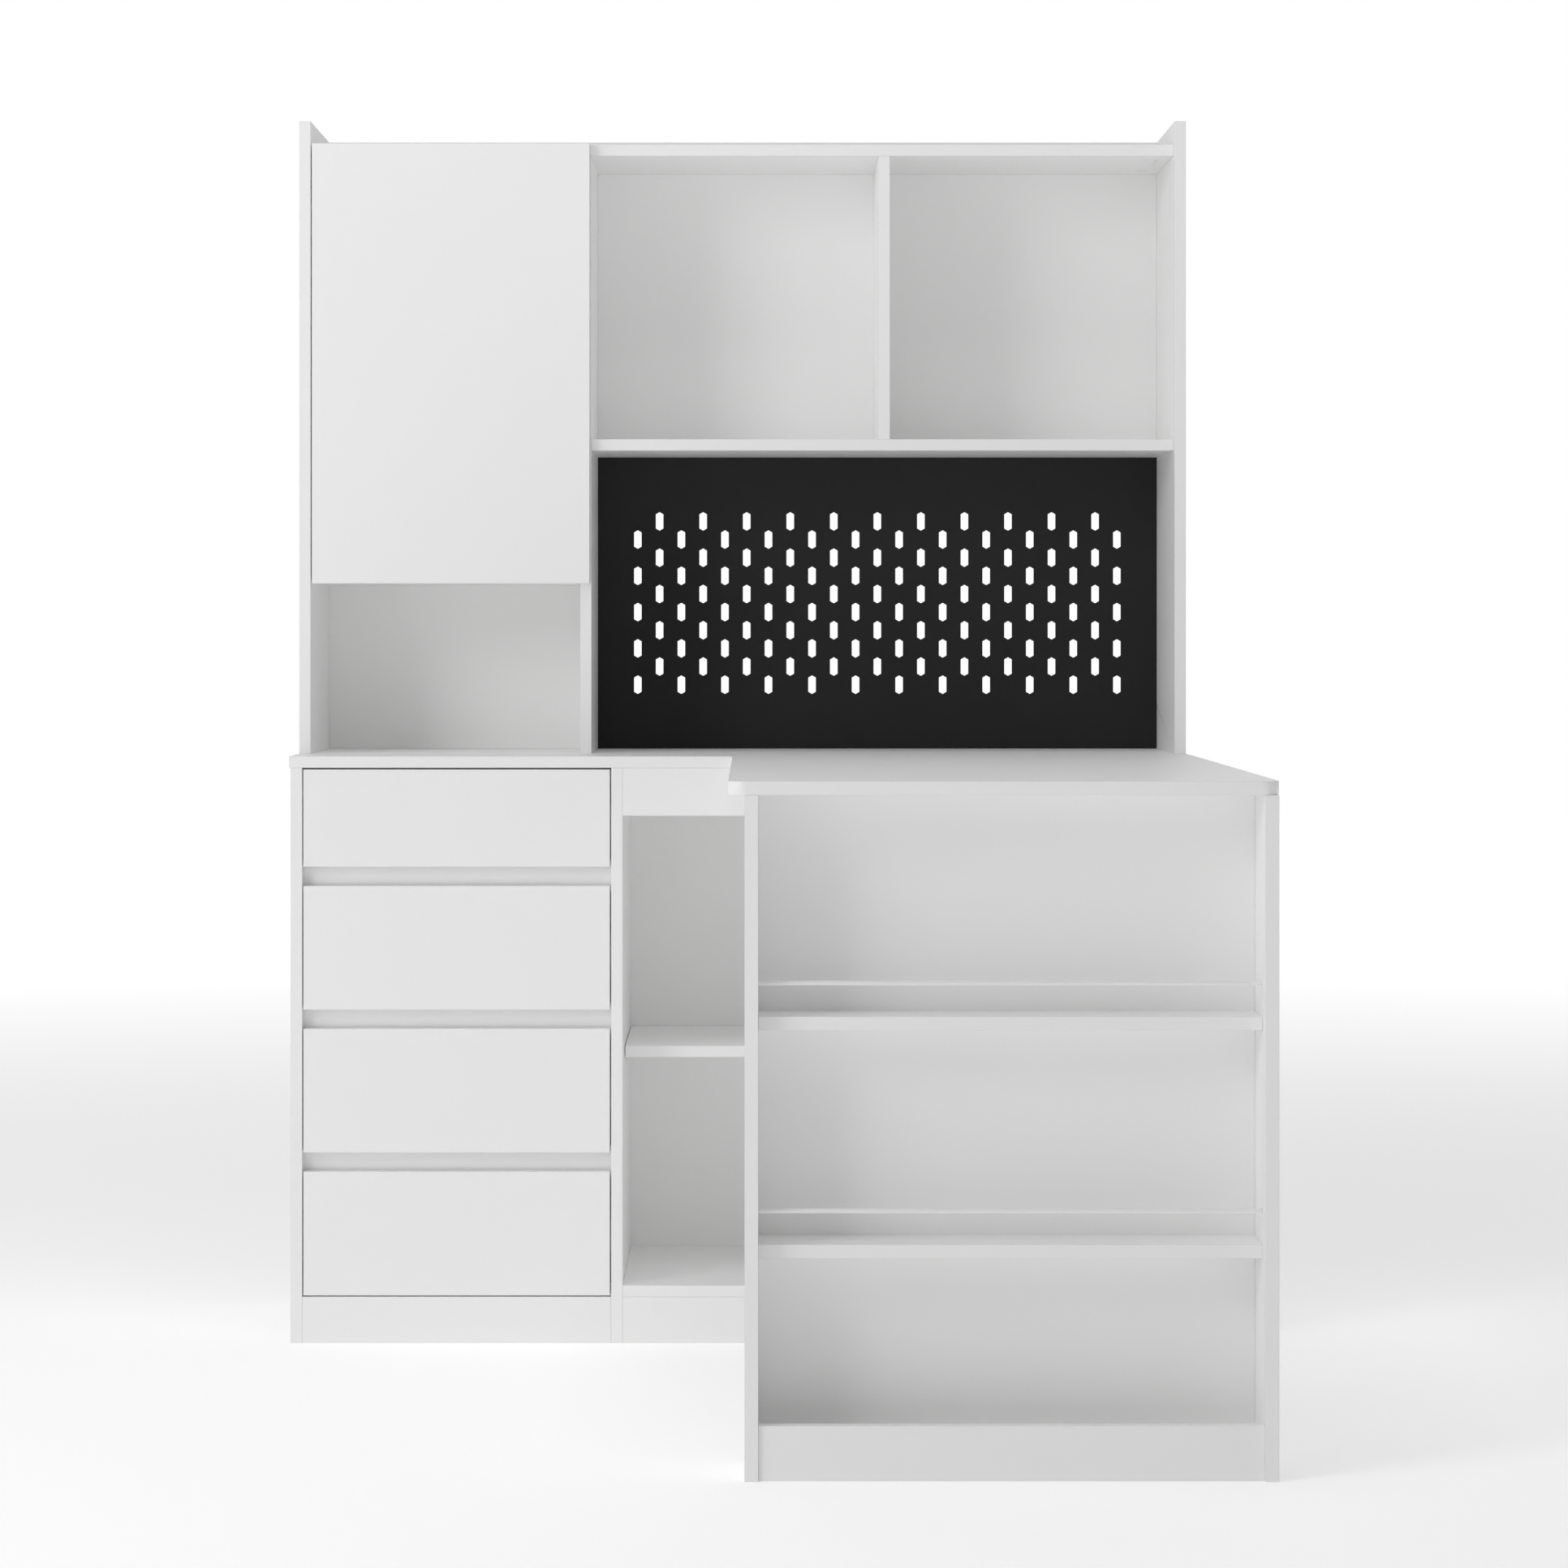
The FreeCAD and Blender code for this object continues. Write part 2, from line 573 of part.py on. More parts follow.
def make_base():
    depth = (BASE_FRONT, REAR)
    upright = ("0 * board", DESK_UNDER)
    face_board = (BASE_FRONT, FRONT_REAR)
    plinth = ("0 * board", "plinth_height")
    floor_board = ("plinth_height", "plinth_height + board")
    panel("base_left_side", (LEFT, LEFT_INNER), depth, upright)
    panel("base_right_side", (RIGHT_INNER, RIGHT), depth, upright)
    panel("base_partition", (BAY_RIGHT, CUBBY_LEFT), (BASE_FRONT, BACK_FACE), upright)
    panel("base_back", (LEFT_INNER, RIGHT_INNER), (BACK_FACE, REAR), ("plinth_height", DESK_UNDER))
    panel("drawer_bay_plinth", (LEFT_INNER, BAY_RIGHT), face_board, plinth)
    panel("cubby_plinth", (CUBBY_LEFT, RIGHT_INNER), face_board, plinth)
    panel("drawer_bay_bottom", (LEFT_INNER, BAY_RIGHT),
          ("%s + stack_reveal" % FRONT_REAR, BACK_FACE), floor_board)
    panel("cubby_bottom", (CUBBY_LEFT, RIGHT_INNER), (BASE_FRONT, BACK_FACE), floor_board)
    panel("cubby_apron", (CUBBY_LEFT, RIGHT_INNER), face_board,
          ("%s - apron_height" % DESK_UNDER, DESK_UNDER))
    panel("cubby_shelf", ("%s + shelf_slack" % CUBBY_LEFT, "%s - shelf_slack" % RIGHT_INNER),
          (SHELF_FRONT, "%s - shelf_slack" % BACK_FACE), ("cubby_shelf_top - board", "cubby_shelf_top"))


def make_finger_rails():
    """Rails behind the gaps between drawer fronts, closing the view into the bay."""
    rail_front = "%s + rail_setback" % BASE_FRONT
    rails = []
    for number in range(1, DRAWER_COUNT):
        low = "%s - finger_gap - rail_overlap" % front_bottom(number)
        high = "%s + rail_overlap" % front_bottom(number)
        rails.append(block("finger_rail_%d" % number, (LEFT_INNER, BAY_RIGHT),
                           (rail_front, "%s + board" % rail_front), (low, high)))
    keep("finger_rails", bored("finger_rails", group("finger_rails_blank", rails)))


def make_rack():
    upright = ("0 * board", DESK_UNDER)
    inside = (RACK_LEFT_INNER, RIGHT_INNER)
    shelf_depth = ("%s + rack_shelf_setback" % WING_FRONT, RACK_BACK_FACE)
    panel("rack_left_panel", (RACK_LEFT, RACK_LEFT_INNER), (WING_FRONT, RACK_REAR), upright)
    panel("rack_right_panel", (RIGHT_INNER, RACK_RIGHT), (WING_FRONT, RACK_REAR), upright)
    panel("rack_back", inside, (RACK_BACK_FACE, RACK_REAR), upright)
    panel("rack_shelf_upper", inside, shelf_depth, ("rack_upper_top - board", "rack_upper_top"))
    panel("rack_shelf_lower", inside, shelf_depth, ("rack_lower_top - board", "rack_lower_top"))
    panel("rack_bottom", inside, ("%s + board" % RACK_PLINTH_FACE, RACK_BACK_FACE),
          ("rack_bottom_top - board", "rack_bottom_top"))
    panel("rack_plinth", inside, (RACK_PLINTH_FACE, "%s + board" % RACK_PLINTH_FACE),
          ("0 * board", "plinth_height"))


def make_hutch():
    side_depth = (HUTCH_FRONT, REAR)
    inner_depth = (HUTCH_INNER_FRONT, BACK_FACE)
    side_height = ("desk_height", "total_height")
    panel("hutch_left_side", (LEFT, LEFT_INNER), side_depth, side_height)
    panel("hutch_right_side", (RIGHT_INNER, RIGHT), side_depth, side_height)
    panel("hutch_partition", (CUPBOARD_RIGHT, PEG_LEFT), (HUTCH_INNER_FRONT, REAR),
          ("desk_height", TOP_UNDER))
    panel("hutch_top", (LEFT_INNER, RIGHT_INNER), (HUTCH_INNER_FRONT, REAR), (TOP_UNDER, TOP_FACE))
    panel("gallery_rail", (LEFT_INNER, RIGHT_INNER), (BACK_FACE, REAR), (TOP_FACE, "total_height"))
    panel("hutch_mid_shelf", (PEG_LEFT, RIGHT_INNER), inner_depth, (MID_UNDER, "mid_shelf_top"))
    panel("hutch_divider", (DIVIDER_LEFT, "%s + board" % DIVIDER_LEFT), inner_depth,
          ("mid_shelf_top", TOP_UNDER))
    panel("cupboard_bottom", (LEFT_INNER, CUPBOARD_RIGHT), inner_depth,
          ("cupboard_underside", "cupboard_underside + board"))
    panel("hutch_back_left", (LEFT_INNER, CUPBOARD_RIGHT), (BACK_FACE, REAR), ("desk_height", TOP_UNDER))
    panel("hutch_back_right", (PEG_LEFT, RIGHT_INNER), (BACK_FACE, REAR), (MID_UNDER, TOP_UNDER))


# ---------------------------------------------------------------- door and hinges


def hinge_heights():
    return ("cupboard_underside + cup_end_margin", "%s - cup_end_margin" % TOP_FACE)


def make_hinge_cup(number, z):
    """Round cup let into the door's rear face, with a flat flange on that face."""
    name = "hinge_cup_%d" % number
    door_rear = "(%s + board)" % HUTCH_FRONT
    centre_x = "%s + cup_inset" % DOOR_LEFT
    bore = bar(name + "_bore", "y", (centre_x, "%s - cup_depth" % door_rear, z), "cup_radius", "cup_depth")
    fasten(bore, "door")
    flange = block(name + "_flange", ("%s - flange_wide / 2" % centre_x, "%s + flange_wide / 2" % centre_x),
                   (door_rear, "%s + flange_gauge" % door_rear),
                   ("%s - flange_long / 2" % z, "%s + flange_long / 2" % z))
    hollow = bar(name + "_hollow", "y", (centre_x, "%s - cup_depth + cup_wall" % door_rear, z),
                 "cup_radius - cup_wall", "cup_depth + flange_gauge")
    return cut(name, joined(name + "_solid", [bore, flange]), hollow)


def make_hinge_arm(number, z):
    """Channel arm on its mounting plate, screwed to the side panel inside the cupboard."""
    name = "hinge_arm_%d" % number
    plate_x = (LEFT_INNER, "%s + plate_gauge" % LEFT_INNER)
    plate = block(name + "_plate", plate_x,
                  ("%s + plate_start" % HUTCH_FRONT, "%s + plate_start + plate_length" % HUTCH_FRONT),
                  ("%s - plate_high / 2" % z, "%s + plate_high / 2" % z))
    arm_y = ("%s + arm_start" % HUTCH_FRONT, "%s + arm_start + arm_length" % HUTCH_FRONT)
    arm = block(name + "_arm", (plate_x[1], "%s + arm_wide" % LEFT_INNER), arm_y,
                ("%s - arm_high / 2" % z, "%s + arm_high / 2" % z))
    hollow_x = ("%s + plate_gauge" % plate_x[1], "%s + arm_wide - plate_gauge" % LEFT_INNER)
    hollow = block(name + "_hollow", hollow_x, arm_y,
                   ("%s - arm_high / 2 + plate_gauge" % z, "%s + arm_high / 2 - plate_gauge" % z))
    return cut(name, joined(name + "_solid", [plate, arm]), hollow)


def make_door():
    cups = [make_hinge_cup(number, z) for number, z in enumerate(hinge_heights(), start=1)]
    arms = [make_hinge_arm(number, z) for number, z in enumerate(hinge_heights(), start=1)]
    keep("hinge_cups", group("hinge_cups", cups))
    keep("hinge_arms", group("hinge_arms", arms))
    panel("door", (DOOR_LEFT, DOOR_RIGHT), (HUTCH_FRONT, "%s + board" % HUTCH_FRONT),
          ("cupboard_underside", TOP_FACE))


# ---------------------------------------------------------------- drawers


def front_bottom(level):
    """Lower edge of a drawer front, counted from 0 at the bottom of the stack."""
    return "(plinth_height + stack_reveal + %d * (front_height + finger_gap))" % level


def front_top(level):
    if level == DRAWER_COUNT - 1:
        return "(%s - stack_reveal)" % DESK_UNDER
    return "(%s + front_height)" % front_bottom(level)


def box_bottom(level):
    return "(%s + box_low)" % front_bottom(level)


def box_top(level):
    return "(%s - box_high)" % front_top(level)


def channel(name, x, web_side, y, middle, height):
    """Channel section lying along Y; x is its (low, high) pair, web_side the closed side."""
    low, high = x
    hollow_x = ("%s + runner_gauge" % low, high) if web_side == "left" else (low, "%s - runner_gauge" % high)
    outer = block(name + "_outer", x, y,
                  ("%s - %s / 2" % (middle, height), "%s + %s / 2" % (middle, height)))
    hollow = block(name + "_hollow", hollow_x, y,
                   ("%s - %s / 2 + runner_gauge" % (middle, height),
                    "%s + %s / 2 - runner_gauge" % (middle, height)))
    return cut(name, outer, hollow)


def make_cabinet_runners():
    y = ("%s + runner_start" % FRONT_REAR, "%s + runner_start + runner_length" % FRONT_REAR)
    left_x = (LEFT_INNER, "%s + runner_channel_deep" % LEFT_INNER)
    right_x = ("%s - runner_channel_deep" % BAY_RIGHT, BAY_RIGHT)
    runners = []
    for level in range(DRAWER_COUNT):
        middle = "((%s + %s) / 2)" % (box_bottom(level), box_top(level))
        for side, x in (("left", left_x), ("right", right_x)):
            runners.append(channel("runner_%s_%d" % (side, level), x, side, y, middle,
                                   "runner_channel_height"))
    keep("cabinet_runners", group("cabinet_runners", runners))


def make_drawer(number):
    """Drawer 1 is the top one."""
    level = DRAWER_COUNT - number
    name = "drawer_%d" % number
    low, high = box_bottom(level), box_top(level)
    left = "(%s + runner_space)" % LEFT_INNER
    right = "(%s - runner_space)" % BAY_RIGHT
    box_rear = "(%s + box_length)" % FRONT_REAR

    bottom_low = "(%s + groove_rise)" % low
    bottom = block(name + "_bottom", ("%s + groove_deep" % left, "%s - groove_deep" % right),
                   ("%s - groove_deep" % FRONT_REAR, "%s - groove_deep" % box_rear),
                   (bottom_low, "%s + box_bottom_board" % bottom_low))
    front = block(name + "_front_blank", ("%s + side_reveal" % LEFT_INNER, "%s - side_reveal" % BAY_RIGHT),
                  (BASE_FRONT, FRONT_REAR), (front_bottom(level), front_top(level)))
    rear = block(name + "_back_blank", ("%s + box_board" % left, "%s - box_board" % right),
                 ("%s - box_board" % box_rear, box_rear), (low, high))
    sides = [
        block(name + "_left_blank", (left, "%s + box_board" % left), (FRONT_REAR, box_rear), (low, high)),
        block(name + "_right_blank", ("%s - box_board" % right, right), (FRONT_REAR, box_rear), (low, high)),
    ]
    slider_y = ("%s + slider_start" % FRONT_REAR, "%s + slider_start + runner_length" % FRONT_REAR)
    middle = "((%s + %s) / 2)" % (low, high)
    sliders = [
        channel(name + "_slider_left", ("%s - slider_deep" % left, left), "right", slider_y,
                middle, "slider_height"),
        channel(name + "_slider_right", (right, "%s + slider_deep" % right), "left", slider_y,
                middle, "slider_height"),
    ]
    keep(name + "_bottom", bottom)
    keep(name + "_front", cut(name + "_front_grooved", front, bottom))
    keep(name + "_back", cut(name + "_back_grooved", rear, bottom))
    grooved_sides = [cut(side.Name + "_grooved", side, bottom) for side in sides]
    keep(name + "_sides", group(name + "_sides", grooved_sides))
    keep(name + "_sliders", group(name + "_sliders", sliders))


# ---------------------------------------------------------------- build, check and write

make_sheet()
make_cam_joints()
make_worktop_dowels()
make_hutch_dowels()
make_level_dowels()
make_shelf_pins()
make_guard_rods()
make_pegboard_screws()
keep_fasteners()
make_worktop()
make_base()
make_finger_rails()
make_rack()
make_hutch()
make_pegboard()
make_door()
make_cabinet_runners()
for drawer_number in range(1, DRAWER_COUNT + 1):
    make_drawer(drawer_number)
document.recompute()

for thing in document.Objects:
    if "Invalid" in thing.State or "Error" in thing.State:
        raise RuntimeError("%s failed: %s" % (thing.Name, thing.State))
for label, thing in nodes.items():
    if thing.Shape.isNull() or not thing.Shape.isValid():
        raise RuntimeError("%s has no valid shape" % label)

os.makedirs("parts", exist_ok=True)
for label, thing in nodes.items():
    thing.Shape.exportStep("parts/%s.step" % label)
print("%d sub-parts written" % len(nodes))
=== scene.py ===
import json
import math

import bpy
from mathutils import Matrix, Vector


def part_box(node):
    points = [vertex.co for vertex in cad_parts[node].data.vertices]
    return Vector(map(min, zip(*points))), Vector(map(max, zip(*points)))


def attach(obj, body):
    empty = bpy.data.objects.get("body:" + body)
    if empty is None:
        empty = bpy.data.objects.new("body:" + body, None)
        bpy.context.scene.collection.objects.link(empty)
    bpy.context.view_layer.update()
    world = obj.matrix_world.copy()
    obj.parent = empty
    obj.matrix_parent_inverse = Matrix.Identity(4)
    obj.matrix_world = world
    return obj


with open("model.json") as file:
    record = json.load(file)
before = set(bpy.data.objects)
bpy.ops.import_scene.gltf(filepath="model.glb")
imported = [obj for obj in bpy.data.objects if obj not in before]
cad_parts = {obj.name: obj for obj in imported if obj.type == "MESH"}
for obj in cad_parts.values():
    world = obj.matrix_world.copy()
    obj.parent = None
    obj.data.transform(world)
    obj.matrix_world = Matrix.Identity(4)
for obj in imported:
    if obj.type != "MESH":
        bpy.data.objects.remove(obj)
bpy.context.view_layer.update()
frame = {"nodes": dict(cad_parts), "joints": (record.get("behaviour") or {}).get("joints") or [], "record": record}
nodes = frame["nodes"]

MM = 0.001
WHITE = (1.0, 1.0, 1.0, 1.0)

# ---------------------------------------------------------------- camera

# The eye stands square to the desk, a little above the worktop; the picture is shifted, not tilted.
EYE = Vector((0.0162, -4.978, 0.927))
LENS = 92.7                        # mm, on a sensor 36 mm wide
SENSOR = 36.0
SHIFT_X = 0.0186
SHIFT_Y = -0.0999
FAR_CLIP = 60.0                    # metres, past the floor's far corners


def make_camera():
    data = bpy.data.cameras.new("camera")
    data.lens = LENS
    data.sensor_width = SENSOR
    data.shift_x = SHIFT_X
    data.shift_y = SHIFT_Y
    data.clip_end = FAR_CLIP
    camera = bpy.data.objects.new("camera", data)
    bpy.context.scene.collection.objects.link(camera)
    camera.location = EYE
    camera.rotation_euler = (math.pi / 2, 0.0, 0.0)    # level, looking along +Y
    bpy.context.scene.camera = camera


# ---------------------------------------------------------------- light and floor

AIM = Vector((0.0, 0.1, 0.8))      # the middle of the desk
# name, place, size in metres, power in watts
SOFTBOXES = (
    ("key", Vector((-2.6, -2.4, 2.2)), 1.2, 27.0),
    ("left", Vector((-4.4, -1.6, 1.2)), 2.0, 15.0),
    ("low_left", Vector((-2.4, -3.0, 0.8)), 1.2, 3.0),
    ("overhead", Vector((0.0, -1.0, 4.2)), 2.0, 28.0),
)

# The studio's walls light the desk from all round, and more from behind it.
# The camera sees plain white in their place.
WALL_GLOW = 0.3
REAR_WALL_GLOW = 0.6
BACKDROP_WHITE = 1.0
TO_REAR_WALL = (0.0, 1.0, 0.0)

# The floor is a pale lit sweep: it glows a little by the desk, and more where it meets the backdrop.
FLOOR_HALF = 15.0                  # metres, from the middle to an edge
FLOOR_TONE = (0.94, 0.94, 0.94, 1.0)
FLOOR_ROUGHNESS = 0.9
FLOOR_GLOW_NEAR = 0.26
FLOOR_GLOW_FAR = 0.6
SWEEP_START = 1.5                  # metres from the desk's middle, where the glow begins to grow
SWEEP_END = 7.0                    # and where it is full


def make_softbox(name, place, size, power):
    """A square light facing the middle of the desk."""
    data = bpy.data.lights.new(name, "AREA")
    data.shape = "SQUARE"
    data.size = size
    data.energy = power
    softbox = bpy.data.objects.new(name, data)
    bpy.context.scene.collection.objects.link(softbox)
    softbox.location = place
    softbox.rotation_euler = (AIM - place).to_track_quat("-Z", "Y").to_euler()


def make_world():
    """Light from all round, strongest from the rear; what the camera sees of it is the plain backdrop."""
    world = bpy.data.worlds.new("studio")
    bpy.context.scene.world = world
    world.use_nodes = True
    tree = world.node_tree
    glow = tree.nodes["Background"]
    direction = tree.nodes.new("ShaderNodeTexCoord")
    rearward = tree.nodes.new("ShaderNodeVectorMath")
    rearward.operation = "DOT_PRODUCT"
    rearward.inputs[1].default_value = TO_REAR_WALL
    tree.links.new(direction.outputs["Generated"], rearward.inputs[0])
    strength = tree.nodes.new("ShaderNodeMapRange")
    strength.inputs["From Min"].default_value = 0.0
    strength.inputs["From Max"].default_value = 1.0
    strength.inputs["To Min"].default_value = WALL_GLOW
    strength.inputs["To Max"].default_value = WALL_GLOW + REAR_WALL_GLOW
    tree.links.new(rearward.outputs["Value"], strength.inputs["Value"])
    tree.links.new(strength.outputs["Result"], glow.inputs["Strength"])
    glow.inputs["Color"].default_value = WHITE

    backdrop = tree.nodes.new("ShaderNodeBackground")
    backdrop.inputs["Color"].default_value = WHITE
    backdrop.inputs["Strength"].default_value = BACKDROP_WHITE
    path = tree.nodes.new("ShaderNodeLightPath")
    choice = tree.nodes.new("ShaderNodeMixShader")
    tree.links.new(path.outputs["Is Camera Ray"], choice.inputs["Fac"])
    tree.links.new(glow.outputs["Background"], choice.inputs[1])
    tree.links.new(backdrop.outputs["Background"], choice.inputs[2])
    tree.links.new(choice.outputs["Shader"], tree.nodes["World Output"].inputs["Surface"])


def make_floor():
    """A wide pale floor whose glow grows with the distance from the desk."""
    corners = [(-FLOOR_HALF, -FLOOR_HALF, 0.0), (FLOOR_HALF, -FLOOR_HALF, 0.0),
               (FLOOR_HALF, FLOOR_HALF, 0.0), (-FLOOR_HALF, FLOOR_HALF, 0.0)]
    mesh = bpy.data.meshes.new("floor")
    mesh.from_pydata(corners, [], [(0, 1, 2, 3)])
    floor = bpy.data.objects.new("floor", mesh)
    bpy.context.scene.collection.objects.link(floor)
    paint = Shader("floor_paint")
    paint.set("Base Color", FLOOR_TONE)
    paint.set("Roughness", FLOOR_ROUGHNESS)
    paint.set("Emission Color", WHITE)
    distance = paint.add("ShaderNodeVectorMath", operation="LENGTH")
    paint.join(paint.place, distance.inputs[0])
    sweep = paint.spread(distance.outputs["Value"], low=FLOOR_GLOW_NEAR, high=FLOOR_GLOW_FAR,
                         from_low=SWEEP_START, from_high=SWEEP_END)
    sweep.node.interpolation_type = "SMOOTHSTEP"
    paint.join(sweep, paint.surface.inputs["Emission Strength"])
    mesh.materials.append(paint.material)


# ---------------------------------------------------------------- materials

# most of a noise's values lie between these
NOISE_LOW = 0.3
NOISE_HIGH = 0.7


class Shader:
    """A Principled material and short ways to add and join nodes."""

    def __init__(self, name):
        self.material = bpy.data.materials.new(name)
        self.material.use_nodes = True
        self.tree = self.material.node_tree
        self.surface = self.tree.nodes["Principled BSDF"]
        self.place = self.add("ShaderNodeTexCoord").outputs["Object"]

    def add(self, kind, **settings):
        node = self.tree.nodes.new(kind)
        for key, value in settings.items():
            setattr(node, key, value)
        return node

    def join(self, source, target):
        self.tree.links.new(source, target)

    def set(self, socket, value):
        self.surface.inputs[socket].default_value = value

    def noise(self, size, detail=2.0, roughness=0.5, stretch=None):
        """Noise whose features measure about `size` metres."""
        node = self.add("ShaderNodeTexNoise")
        node.inputs["Scale"].default_value = 1.0 / size
        node.inputs["Detail"].default_value = detail
        node.inputs["Roughness"].default_value = roughness
        self.join(self.stretched(stretch), node.inputs["Vector"])
        return node.outputs["Fac"]

    def stretched(self, factors):
        if factors is None:
            return self.place
        mapping = self.add("ShaderNodeMapping")
        mapping.inputs["Scale"].default_value = factors
        self.join(self.place, mapping.inputs["Vector"])
        return mapping.outputs["Vector"]

    def spread(self, source, low, high, from_low=NOISE_LOW, from_high=NOISE_HIGH):
        """Map from_low to from_high onto low to high."""
        node = self.add("ShaderNodeMapRange")
        node.inputs["From Min"].default_value = from_low
        node.inputs["From Max"].default_value = from_high
        node.inputs["To Min"].default_value = low
        node.inputs["To Max"].default_value = high
        self.join(source, node.inputs["Value"])
        return node.outputs["Result"]

    def colour(self, source, low, high):
        """Base colour running from low to high with a 0 to 1 value."""
        node = self.add("ShaderNodeMix", data_type="RGBA")
        node.inputs["A"].default_value = (*low, 1.0)
        node.inputs["B"].default_value = (*high, 1.0)
        self.join(source, node.inputs["Factor"])
        self.join(node.outputs["Result"], self.surface.inputs["Base Color"])

    def roughness(self, source, low, high):
        """Roughness running from low to high with a noise."""
        self.join(self.spread(source, low, high), self.surface.inputs["Roughness"])

    def relief(self, source, depth):
        """Relief of `depth` metres from a 0 to 1 value."""
        node = self.add("ShaderNodeBump")
        node.inputs["Strength"].default_value = 1.0
        node.inputs["Distance"].default_value = depth
        self.join(source, node.inputs["Height"])
        self.join(node.outputs["Normal"], self.surface.inputs["Normal"])


def laminate():
    """White melamine-faced board: satin, with a fine pressed grain and slightly uneven gloss."""
    shader = Shader("white_laminate")
    cloud = shader.spread(shader.noise(0.35, detail=3.0), 0.0, 1.0)
    shader.colour(cloud, low=(0.905, 0.905, 0.903), high=(0.92, 0.92, 0.919))
    shader.roughness(shader.noise(0.012, detail=4.0), low=0.4, high=0.52)
    shader.relief(shader.noise(0.0011, detail=3.0, roughness=0.6), depth=0.04 * MM)
    shader.set("Specular IOR Level", 0.4)
    return shader.material


def edge_band():
    """White plastic edge banding: smoother than the board's face, with faint waves."""
    shader = Shader("white_edge_band")
    cloud = shader.spread(shader.noise(0.3), 0.0, 1.0)
    shader.colour(cloud, low=(0.9, 0.9, 0.9), high=(0.915, 0.915, 0.916))
    wave = shader.noise(0.02, detail=3.0)
    shader.roughness(wave, low=0.3, high=0.4)
    shader.relief(wave, depth=0.06 * MM)
    shader.set("Specular IOR Level", 0.45)
    return shader.material


def glue_line_and_seam_shade():
    """The eased arris, where the banding is glued to the board: a touch darker than either. The darkness is
    painted shade that draws the seams between boards, and partly the glue line.
    """
    shader = Shader("white_glue_line_and_seam_shade")
    wear = shader.noise(0.004, detail=3.0)
    # painted shade: the arris is darker than the face and the banding, so every board's outline and the seams
    # between boards read as dark lines
    shader.colour(wear, low=(0.8, 0.8, 0.795), high=(0.85, 0.85, 0.845))
    shader.roughness(wear, low=0.4, high=0.55)
    shader.relief(wear, depth=0.04 * MM)
    return shader.material


def powder_coat():
    """Black powder coat on sheet metal: matt, with a fine orange-peel relief."""
    shader = Shader("black_powder_coat")
    cloud = shader.spread(shader.noise(0.2, detail=3.0), 0.0, 1.0)
    shader.colour(cloud, low=(0.016, 0.016, 0.0164), high=(0.0185, 0.0185, 0.019))
    speckle = shader.noise(0.0009, detail=3.0, roughness=0.7)
    shader.roughness(speckle, low=0.42, high=0.62)
    shader.relief(speckle, depth=0.08 * MM)
    shader.set("Specular IOR Level", 0.25)
    return shader.material


def rod_paint():
    """White paint on the thin metal rods, also used for the cover caps."""
    shader = Shader("white_rod_paint")
    mottle = shader.noise(0.004, detail=3.0)
    shader.colour(mottle, low=(0.84, 0.84, 0.84), high=(0.87, 0.87, 0.87))
    shader.roughness(mottle, low=0.3, high=0.42)
    shader.relief(shader.noise(0.0008), depth=0.03 * MM)
    return shader.material


# how fine the noise is along each axis: it is drawn out into streaks along Y
DRAWN = (1.0, 0.06, 1.0)
BRUSHED = (1.0, 0.3, 1.0)


def plated_steel(name, light, dark, rough_low, rough_high, stretch):
    """Plated steel with fine streaks."""
    shader = Shader(name)
    streak = shader.noise(0.0012, detail=4.0, stretch=stretch)
    shader.colour(streak, low=dark, high=light)
    shader.roughness(streak, low=rough_low, high=rough_high)
    shader.relief(streak, depth=0.01 * MM)
    shader.set("Metallic", 1.0)
    return shader.material


def zinc_plate():
    return plated_steel("zinc_plate", light=(0.62, 0.63, 0.65), dark=(0.54, 0.55, 0.57),
                        rough_low=0.28, rough_high=0.4, stretch=DRAWN)


def nickel_plate():
    return plated_steel("nickel_plate", light=(0.72, 0.71, 0.69), dark=(0.67, 0.66, 0.64),
                        rough_low=0.2, rough_high=0.3, stretch=BRUSHED)


def beech():
    """Bare beech: pale, with straight upright grain."""
    shader = Shader("beech")
    grain = shader.noise(0.0016, detail=5.0, stretch=(1.0, 1.0, 0.08))
    shader.colour(grain, low=(0.52, 0.34, 0.2), high=(0.7, 0.51, 0.34))
    shader.roughness(grain, low=0.55, high=0.75)
    shader.relief(grain, depth=0.06 * MM)
    return shader.material


def hardboard():
    """White painted hardboard of the drawer bottoms: matt, with short fibres."""
    shader = Shader("white_hardboard")
    cloud = shader.noise(0.05, detail=4.0)
    shader.colour(cloud, low=(0.78, 0.78, 0.775), high=(0.82, 0.82, 0.815))
    fibre = shader.noise(0.0015, detail=4.0, stretch=(1.0, 0.4, 1.0))
    shader.roughness(fibre, low=0.55, high=0.7)
    shader.relief(fibre, depth=0.06 * MM)
    return shader.material


# A polygon is on a board's large face if more of its normal than this runs along the thickness.
FACE_ON = 0.7
# the material slots of a banded board
FACE_SLOT = 0
BAND_SLOT = 1
ARRIS_SLOT = 2


def paint_nodes():
    """Give every CAD node the material of its slot in the record, and return the materials by slot."""
    by_slot = {
        "white_laminate": laminate(),
        "black_sheet_metal": powder_coat(),
        "white_rod": rod_paint(),
        "runner_steel": zinc_plate(),
        "plated_steel": nickel_plate(),
        "beech": beech(),
        "white_hardboard": hardboard(),
    }
    band = edge_band()
    arris = glue_line_and_seam_shade()
    for entry in frame["record"]["subparts"]:
        slot = entry["material_slot"]
        mesh = nodes[entry["node"]].data
        mesh.materials.clear()
        mesh.materials.append(by_slot[slot])
        if slot == "white_laminate":
            mesh.materials.append(band)
            mesh.materials.append(arris)
            paint_bands(mesh)
        else:
            for polygon in mesh.polygons:
                polygon.material_index = FACE_SLOT
    return by_slot


